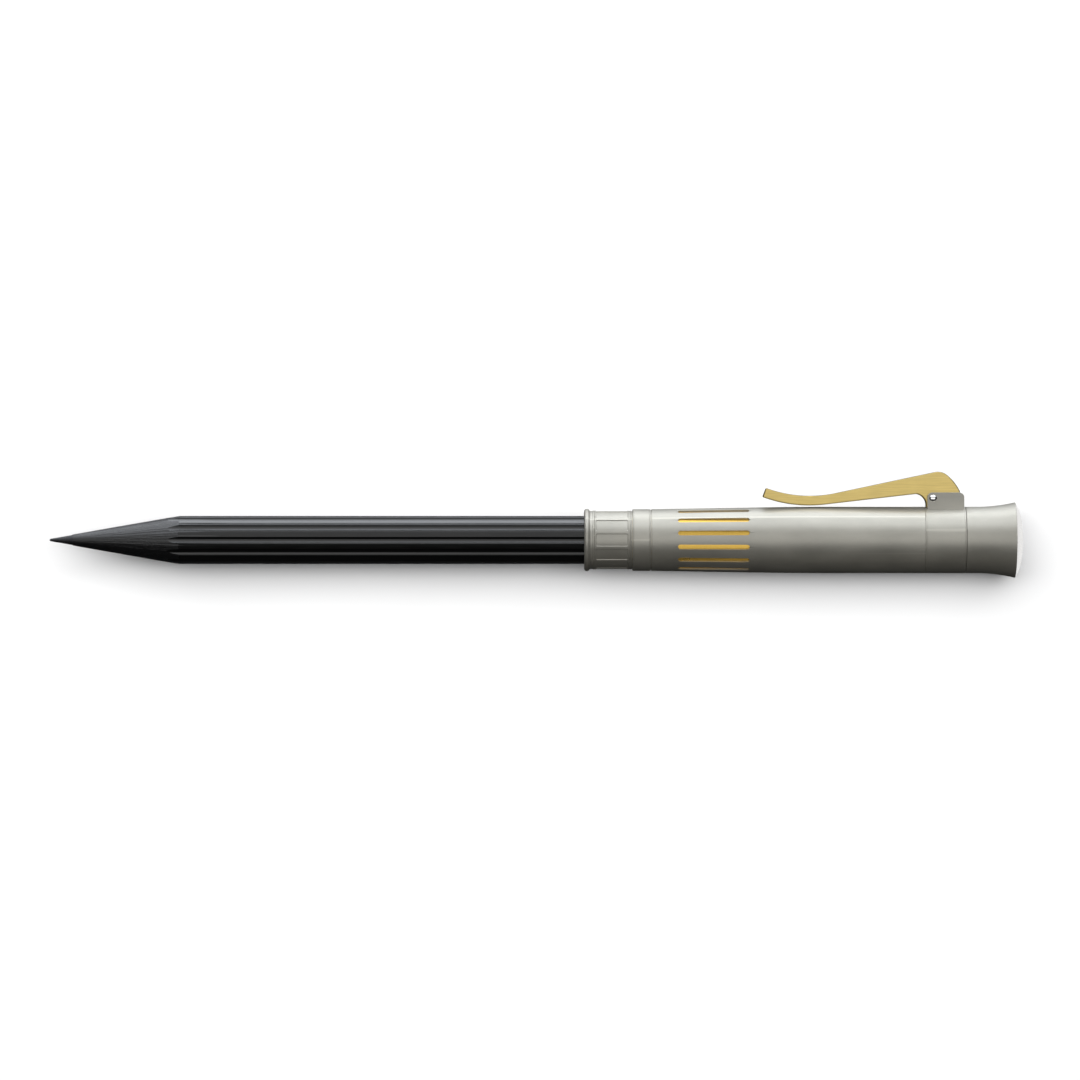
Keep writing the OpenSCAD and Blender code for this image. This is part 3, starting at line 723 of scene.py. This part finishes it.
def crown_disc():
    """Polished disc: a plug in the crown and a dome that is nearly flat at its middle."""
    x0, x1 = CROWN_HIGH.x, DISC_HIGH.x
    disc_r, plug_r, lift, power = RIM_R - 0.13, 5.5, 0.01, 3.3
    height = x1 - x0
    dome = [(x0 + height * (1 - (r / disc_r) ** power), r) for r in np.linspace(disc_r, 0.0, 48)]
    plug = [(DISC_LOW.x, 0.0), (DISC_LOW.x, plug_r), (x0 + lift, plug_r), (x0 + lift, disc_r - 0.02)]
    outline = plug + dome
    return lathe("disc_domed", outline, DISC_METAL, "crown", ["crown_disc"],
                 TURNED_SEGMENTS, sharp_deg=50)


def eraser_cap():
    """Thin drawn cap with a rolled lip and a rounded closed end."""
    x0, x1 = CAP_LOW.x, CAP_HIGH.x
    r, wall, round_r, floor_x = CAP_HIGH.z, 0.17, 0.7, x1 - 0.45
    end = arc(x1 - round_r, r - round_r, round_r, 90, 0, 8)
    outline = [(x0, r - wall), (x0, r - 0.04), (x0 + 0.04, r), (x0 + 0.4, r), (x0 + 0.46, r - 0.03),
               (x0 + 0.52, r)] + end
    outline += [(x1, 0.0), (floor_x, 0.0), (floor_x, r - 0.8), (x1 - round_r, r - wall)]
    return lathe("eraser_cap_drawn", outline, POLISHED, "eraser_cap", ["eraser_cap"], 128)


CAD_FINISH = {
    "inner_tube": GOLD_TUBE, "grip_insert": PLASTIC, "clip_spring": SPRING_STEEL, "ferrule": STEEL,
    "eraser": RUBBER, "sharpener_carrier": STEEL, "spigot_o_ring": RUBBER, "sharpener_body": MAGNESIUM,
    "sharpener_blade": STEEL, "blade_screw": STEEL,
}


def finish_cad_nodes():
    """Gives each carried-over CAD node its procedural material."""
    for name, material in CAD_FINISH.items():
        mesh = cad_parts[name].data
        mesh.materials.clear()
        mesh.materials.append(material)


# ---- Stage, in metres apart from the lens ----
CAMERA_X = 0.0799
CAMERA_HEIGHT = 1.139
LENS_MM = 233.0
BOX_DISTANCE = 1.5
BOX_LENGTH = 3.0
COOL, WARM = (0.96, 1.0, 1.06), (1.0, 0.95, 0.84)


def light_group(name, objects):
    """A collection that says what a light falls on, or what casts a shadow in it."""
    group = bpy.data.collections.new(name)
    for obj in objects:
        group.objects.link(obj)
    return group


def soft_box(name, elevation, spread, radiance, falls_on, shadowed_by, colour=(1, 1, 1), turn=0):
    """A long soft box that spans spread degrees of the sky, at an elevation above the +Y horizon.

    Over 90 degrees it leans to -Y; turn swings it about the upright, in degrees.
    """
    width = 2 * BOX_DISTANCE * math.tan(math.radians(spread / 2))
    data = bpy.data.lights.new(name, "AREA")
    data.shape = "RECTANGLE"
    data.size, data.size_y = BOX_LENGTH, width
    data.energy = math.pi * BOX_LENGTH * width * radiance
    data.color = colour
    tilt = math.radians(elevation)
    swing = Matrix.Rotation(math.radians(turn), 3, "Z")
    obj = bpy.data.objects.new(name, data)
    towards = swing @ Vector((0, math.cos(tilt), math.sin(tilt)))
    obj.location = Vector((CAMERA_X, 0, 0)) + towards * BOX_DISTANCE
    obj.rotation_euler = (swing @ Matrix.Rotation(tilt - math.pi / 2, 3, "X")).to_euler()
    obj.visible_camera = False
    obj.light_linking.receiver_collection = falls_on
    obj.light_linking.blocker_collection = shadowed_by
    bpy.context.scene.collection.objects.link(obj)


def make_floor():
    """Near-white paper under the object, which sends no light back up to it."""
    size = 3.0
    mesh = bpy.data.meshes.new("floor")
    mesh.from_pydata([(-size, -size, FLOOR_Z), (size, -size, FLOOR_Z), (size, size, FLOOR_Z),
                      (-size, size, FLOOR_Z)], [], [(0, 1, 2, 3)])
    floor = bpy.data.objects.new("floor", mesh)
    bpy.context.scene.collection.objects.link(floor)
    mesh.materials.append(paper())
    floor.visible_diffuse = False
    floor.visible_glossy = False
    return floor


def make_lights(floor):
    """Soft boxes on the clip's side for the object, and others for the floor and its soft shadow."""
    pieces = [obj for obj in bpy.context.scene.objects if obj.type == "MESH" and obj != floor]
    clip_pieces = [obj for obj in pieces if obj.name == "clip_bevelled"]
    hinge_pieces = [obj for obj in pieces if obj.name.startswith(("clip_ear", "pin_"))]
    pencil_pieces = [obj for obj in pieces if obj.name.startswith("pencil_")]
    objects = light_group("object", pieces)
    all_but_clip = light_group("all_but_clip", [obj for obj in pieces if obj not in clip_pieces])
    only_clip = light_group("only_clip", clip_pieces)
    only_holder = light_group("only_holder", [obj for obj in pieces if obj not in pencil_pieces])
    only_floor = light_group("only_floor", [floor])
    only_tube = light_group("only_tube", [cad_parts["inner_tube"]])
    only_disc = light_group("only_disc", [obj for obj in pieces if obj.name == "disc_domed"])
    low_pieces = light_group("low_pieces", [obj for obj in pieces if obj not in clip_pieces + hinge_pieces])
    nothing = light_group("nothing", [])

    soft_box("under_box", -38, 26, 1.2, all_but_clip, objects, COOL)
    soft_box("low_box", -10, 26, 4.0, all_but_clip, objects, COOL)
    soft_box("side_box", 27, 34, 2.35, objects, objects, COOL)
    soft_box("upper_box", 58, 28, 0.6, objects, objects)
    soft_box("zenith_box", 88, 30, 1.25, objects, objects)
    soft_box("far_box", 150, 40, 0.08, only_holder, objects, WARM)
    soft_box("clip_box", 135, 40, 1.0, only_clip, nothing)
    soft_box("end_box", -50, 80, 0.9, only_disc, nothing, turn=-90)
    soft_box("tube_box", 125, 60, 0.75, only_tube, nothing)
    soft_box("floor_box", 68, 52, 2.9, only_floor, low_pieces)
    soft_box("floor_fill", 90, 40, 0.8, only_floor, nothing)


def make_world():
    """Faint even light, so that nothing goes quite black."""
    world = bpy.data.worlds.new("studio")
    world.use_nodes = True
    background = world.node_tree.nodes["Background"]
    background.inputs["Color"].default_value = (0.93, 0.95, 1.0, 1)
    background.inputs["Strength"].default_value = 0.02
    bpy.context.scene.world = world


def make_camera():
    """Straight above the object, with +Y at the top of the picture."""
    data = bpy.data.cameras.new("camera")
    data.sensor_width = 36.0
    data.lens = LENS_MM
    data.clip_end = 20.0
    camera = bpy.data.objects.new("camera", data)
    camera.location = (CAMERA_X, 0, CAMERA_HEIGHT)
    bpy.context.scene.collection.objects.link(camera)
    bpy.context.scene.camera = camera


def stage():
    """Floor, lights, world and camera, with colours shown as they are."""
    bpy.context.scene.view_settings.view_transform = "Standard"
    make_lights(make_floor())
    make_world()
    make_camera()


pencil_casing()
pencil_lead()
front_collar()
plain_ring()
barrel()
clip_band()
ears()
clip_pin()
clip()
crown()
crown_disc()
eraser_cap()
finish_cad_nodes()
stage()
